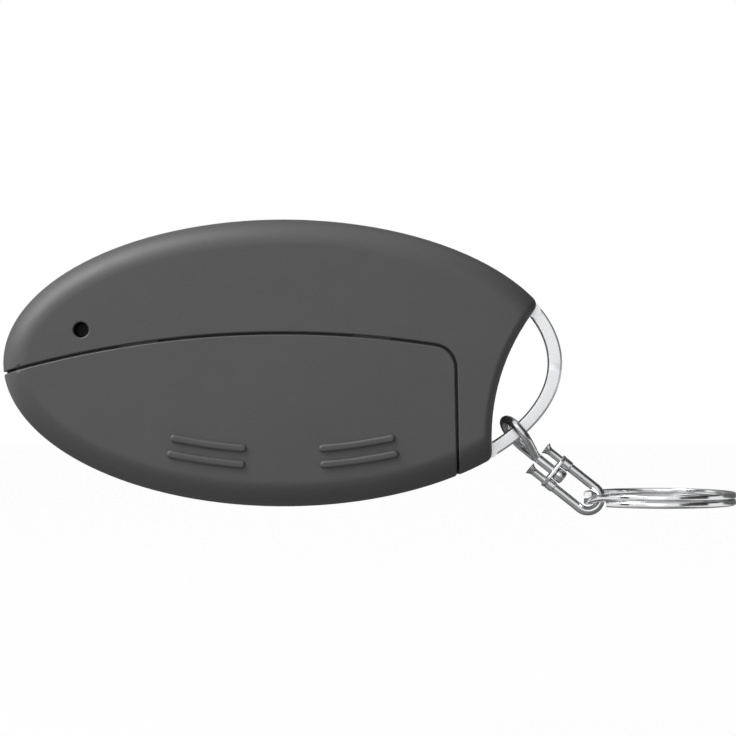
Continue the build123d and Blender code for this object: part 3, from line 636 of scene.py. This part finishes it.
# %% Split ring tree
def ring_tree():
    tree, start, end = start_tree("split_ring", [
        ("Mean Radius", "NodeSocketFloat"), ("Rise", "NodeSocketFloat"), ("Step Start", "NodeSocketFloat"),
        ("Step Sweep", "NodeSocketFloat"), ("Total Turn", "NodeSocketFloat"), ("Points", "NodeSocketInt"),
        ("Strip Width", "NodeSocketFloat"), ("Strip Height", "NodeSocketFloat"), ("Edge", "NodeSocketFloat"),
        ("Material", "NodeSocketMaterial"),
    ])

    def math(operation, first, second=None):
        node = tree.nodes.new("ShaderNodeMath")
        node.operation = operation
        for socket, value in zip(node.inputs, (first, second)):
            if isinstance(value, (int, float)):
                socket.default_value = value
            elif value is not None:
                tree.links.new(value, socket)
        return node.outputs["Value"]

    line = tree.nodes.new("GeometryNodeCurvePrimitiveLine")
    resample = tree.nodes.new("GeometryNodeResampleCurve")
    tree.links.new(line.outputs["Curve"], resample.inputs["Curve"])
    tree.links.new(start.outputs["Points"], resample.inputs["Count"])
    parameter = tree.nodes.new("GeometryNodeSplineParameter")
    angle = math("MULTIPLY", parameter.outputs["Factor"], start.outputs["Total Turn"])
    past = math("SUBTRACT", angle, start.outputs["Step Start"])
    share = math("DIVIDE", past, start.outputs["Step Sweep"])
    share = math("MINIMUM", math("MAXIMUM", share, 0.0), 1.0)
    eased = math("SUBTRACT", 3.0, math("MULTIPLY", share, 2.0))
    smooth = math("MULTIPLY", math("MULTIPLY", share, share), eased)
    level = math("SUBTRACT", math("MULTIPLY", smooth, 2.0), 1.0)
    height = math("MULTIPLY", level, start.outputs["Rise"])
    place = tree.nodes.new("ShaderNodeCombineXYZ")
    for axis, circle in (("X", "COSINE"), ("Y", "SINE")):
        part = math("MULTIPLY", math(circle, angle), start.outputs["Mean Radius"])
        tree.links.new(part, place.inputs[axis])
    tree.links.new(height, place.inputs["Z"])
    lay = tree.nodes.new("GeometryNodeSetPosition")
    tree.links.new(place.outputs["Vector"], lay.inputs["Position"])
    upright = tree.nodes.new("GeometryNodeSetCurveNormal")
    upright.mode = "Z_UP"
    strip = tree.nodes.new("GeometryNodeCurvePrimitiveQuadrilateral")
    tree.links.new(start.outputs["Strip Width"], strip.inputs["Width"])
    tree.links.new(start.outputs["Strip Height"], strip.inputs["Height"])
    soft = tree.nodes.new("GeometryNodeFilletCurve")
    soft.mode = "POLY"
    soft.inputs["Count"].default_value = 5
    tree.links.new(start.outputs["Edge"], soft.inputs["Radius"])
    tree.links.new(strip.outputs["Curve"], soft.inputs["Curve"])
    sweep = tree.nodes.new("GeometryNodeCurveToMesh")
    sweep.inputs["Fill Caps"].default_value = True
    tree.links.new(soft.outputs["Curve"], sweep.inputs["Profile Curve"])
    realize = tree.nodes.new("GeometryNodeRealizeInstances")
    finish = tree.nodes.new("GeometryNodeSetMaterial")
    tree.links.new(start.outputs["Material"], finish.inputs["Material"])
    chain_nodes(tree, resample, lay, upright, sweep, realize, finish, end)
    return tree


RING_RADIUS, RING_STRIP, RING_TURN, RING_GAP = 10.0, 1.0, 0.8, 0.08
MEAN_RADIUS = RING_RADIUS - RING_STRIP / 2
RING_TILT, RING_START = radians(0.5), radians(220.0)
ring_values = {
    "Mean Radius": MEAN_RADIUS * MM,
    "Rise": (RING_TURN + RING_GAP) / 2 * MM,
    "Step Start": radians(320.0),
    "Step Sweep": radians(40.0),
    "Total Turn": radians(680.0),
    "Points": 681,
    "Strip Width": RING_STRIP * MM,
    "Strip Height": RING_TURN * MM,
    "Edge": 0.2 * MM,
    "Material": chrome,
}
ring_mesh = run_tree(ring_tree(), [(0, 0, 0), (0, 0, MM)], ring_values)
hung = Matrix.Translation(ring_hinge * MM) @ Matrix.Rotation(RING_TILT, 4, "X")
centred = Matrix.Translation((MEAN_RADIUS * MM, 0, 0)) @ Matrix.Rotation(RING_START, 4, "Z")
ring_mesh.transform(hung @ centred)
split_ring = joined_piece("split_ring_wound", [ring_mesh])
place_piece(split_ring, "split_ring")
cad_low, cad_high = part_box("split_ring")
print("size of the ring's solid, mm:", [round((a - b) / MM, 3) for a, b in zip(cad_high, cad_low)])
print("size of the wound ring, mm:", [round(v / MM, 3) for v in split_ring.dimensions])

# %% [markdown]
# The studio is plain: a pale floor, a pale world and two soft lamps. The world is white for the camera
# and for what metal or glass reflects, and dimmer as a light, so the shadows keep their strength. The
# floor lies far enough below for the battery cover to slide down.

# %% World, floor and lamps
FLOOR_DROP = 32.0 * MM
FLOOR_HALF = 1.5
WORLD_LIGHT, WORLD_SEEN, FLOOR_SEEN = 0.3, 1.0, 0.98
LAMPS = [
    # Name, place in metres, size, power.
    ("key_lamp", (-0.37, -0.19, 0.43), 0.5, 6.1),
    ("fill_lamp", (-0.1, -0.7, 0.12), 0.4, 0.4),
]


def seen_directly(tree, share):
    """A share for rays from the camera and for rays that metal or glass sends on, otherwise zero."""
    path = tree.nodes.new("ShaderNodeLightPath")
    value = path.outputs["Is Camera Ray"]
    for name in ("Is Glossy Ray", "Is Transmission Ray"):
        larger = tree.nodes.new("ShaderNodeMath")
        larger.operation = "MAXIMUM"
        tree.links.new(value, larger.inputs[0])
        tree.links.new(path.outputs[name], larger.inputs[1])
        value = larger.outputs["Value"]
    part = tree.nodes.new("ShaderNodeMath")
    part.operation = "MULTIPLY"
    part.inputs[1].default_value = share
    tree.links.new(value, part.inputs[0])
    return part.outputs["Value"]


def plain_world():
    world = bpy.data.worlds.new("pale_world")
    bpy.context.scene.world = world
    world.use_nodes = True
    tree = world.node_tree
    background = tree.nodes["Background"]
    mix = tree.nodes.new("ShaderNodeMix")
    mix.inputs["A"].default_value = WORLD_LIGHT
    mix.inputs["B"].default_value = WORLD_SEEN
    tree.links.new(seen_directly(tree, 1.0), mix.inputs["Factor"])
    tree.links.new(mix.outputs["Result"], background.inputs["Strength"])
    background.inputs["Color"].default_value = (1.0, 1.0, 1.0, 1.0)


def area_lamp(name, place, size, power):
    data = bpy.data.lights.new(name, "AREA")
    data.shape = "DISK"
    data.size = size
    data.energy = power
    lamp = linked_object(name, data)
    lamp.location = place
    lamp.rotation_euler = (-Vector(place)).to_track_quat("-Z", "Y").to_euler()


def rectangle(name, place, width, height, turn=Matrix.Identity(3)):
    """A flat rectangle about a place, lying level unless it is turned."""
    mesh = bpy.data.meshes.new(name)
    corners = [(-width / 2, -height / 2, 0), (width / 2, -height / 2, 0), (width / 2, height / 2, 0)]
    corners.append((-width / 2, height / 2, 0))
    mesh.from_pydata([turn @ Vector(corner) + Vector(place) for corner in corners], [], [(0, 1, 2, 3)])
    return linked_object(name, mesh)


def floor_plane(level):
    floor = rectangle("floor", (0.0, 0.0, level), 2 * FLOOR_HALF, 2 * FLOOR_HALF)
    material, tree, shader, _ = new_material("pale_floor", (0.5, 0.5, 0.5), roughness=0.9)
    glow = tree.nodes.new("ShaderNodeEmission")
    glow.inputs["Strength"].default_value = 1.0
    mix = tree.nodes.new("ShaderNodeMixShader")
    tree.links.new(seen_directly(tree, FLOOR_SEEN), mix.inputs["Fac"])
    tree.links.new(shader.outputs["BSDF"], mix.inputs[1])
    tree.links.new(glow.outputs["Emission"], mix.inputs[2])
    tree.links.new(mix.outputs["Shader"], tree.nodes["Material Output"].inputs["Surface"])
    floor.data.materials.append(material)


plain_world()
for lamp_values in LAMPS:
    area_lamp(*lamp_values)
floor_level = cad_box[0].z - FLOOR_DROP
floor_plane(floor_level)
print("floor level in mm:", round(floor_level / MM, 1))

# %% [markdown]
# Chrome shows only what surrounds it, and a white room leaves it without form. So dark cards stand round
# the object, each one facing it. Reflections alone see them: they cast no shadow and the camera looks
# past them. One more lies just over the floor, where the chain would mirror it.

# %% Dark cards for the chrome
CARDS = [
    # Name, place in metres, width, height, shade.
    ("card_behind", (0.03, 0.22, 0.0), 1.2, 1.2, 0.12),
    ("card_upper_left", (-0.22, -0.03, 0.22), 0.17, 0.17, 0.01),
    ("card_upper_right", (0.35, -0.11, 0.2), 0.42, 0.42, 0.01),
    ("card_right", (0.315, -0.246, 0.0), 0.32, 0.26, 0.01),
    ("card_left", (-0.33, -0.22, 0.0), 0.12, 0.26, 0.01),
]
LOW_PLACE, LOW_WIDTH, LOW_HEIGHT, LOW_SHADE = (0.02, -0.05), 0.3, 0.4, 0.15
CARD_LIFT = 0.4 * MM


def dark_card(name, place, width, height, shade, turn):
    card = rectangle(name, place, width, height, turn)
    card.visible_camera = False
    card.visible_diffuse = False
    card.visible_shadow = False
    card.visible_transmission = False
    material = new_material(name, (shade, shade, shade), roughness=0.5)[0]
    card.data.materials.append(material)


for name, place, width, height, shade in CARDS:
    facing = (-Vector(place)).to_track_quat("-Z", "Y").to_matrix()
    dark_card(name, place, width, height, shade, facing)
low_place = (*LOW_PLACE, floor_level + CARD_LIFT)
dark_card("card_low", low_place, LOW_WIDTH, LOW_HEIGHT, LOW_SHADE, Matrix.Identity(3))
print("dark cards:", len(CARDS) + 1)

# %% [markdown]
# The camera looks along the Y axis, flat on to the rear face. A long lens keeps the outline almost free
# of perspective. Its distance follows from the scale of the photo, so a millimetre spans as many pixels
# in the render as it does there.

# %% Camera at the photo's angle
PHOTO_SIDE, PIXELS_PER_MM = 736, 7.568
ORIGIN_ACROSS, ORIGIN_DOWN = 284.25, 363.0
LENS, SENSOR = 135.0, 36.0
distance = PHOTO_SIDE / PIXELS_PER_MM * LENS / SENSOR
right_of_origin = (PHOTO_SIDE / 2 - ORIGIN_ACROSS) / PIXELS_PER_MM
above_origin = (ORIGIN_DOWN - PHOTO_SIDE / 2) / PIXELS_PER_MM
camera_data = bpy.data.cameras.new("camera")
camera_data.lens = LENS
camera_data.sensor_width = SENSOR
camera_data.clip_start = 0.01
camera_data.clip_end = 20.0
camera = linked_object("camera", camera_data)
camera.location = (right_of_origin * MM, -distance * MM, above_origin * MM)
camera.rotation_euler = (radians(90), 0.0, 0.0)
bpy.context.scene.camera = camera
bpy.context.scene.view_settings.view_transform = "Standard"
print("camera distance in mm:", round(distance, 1))
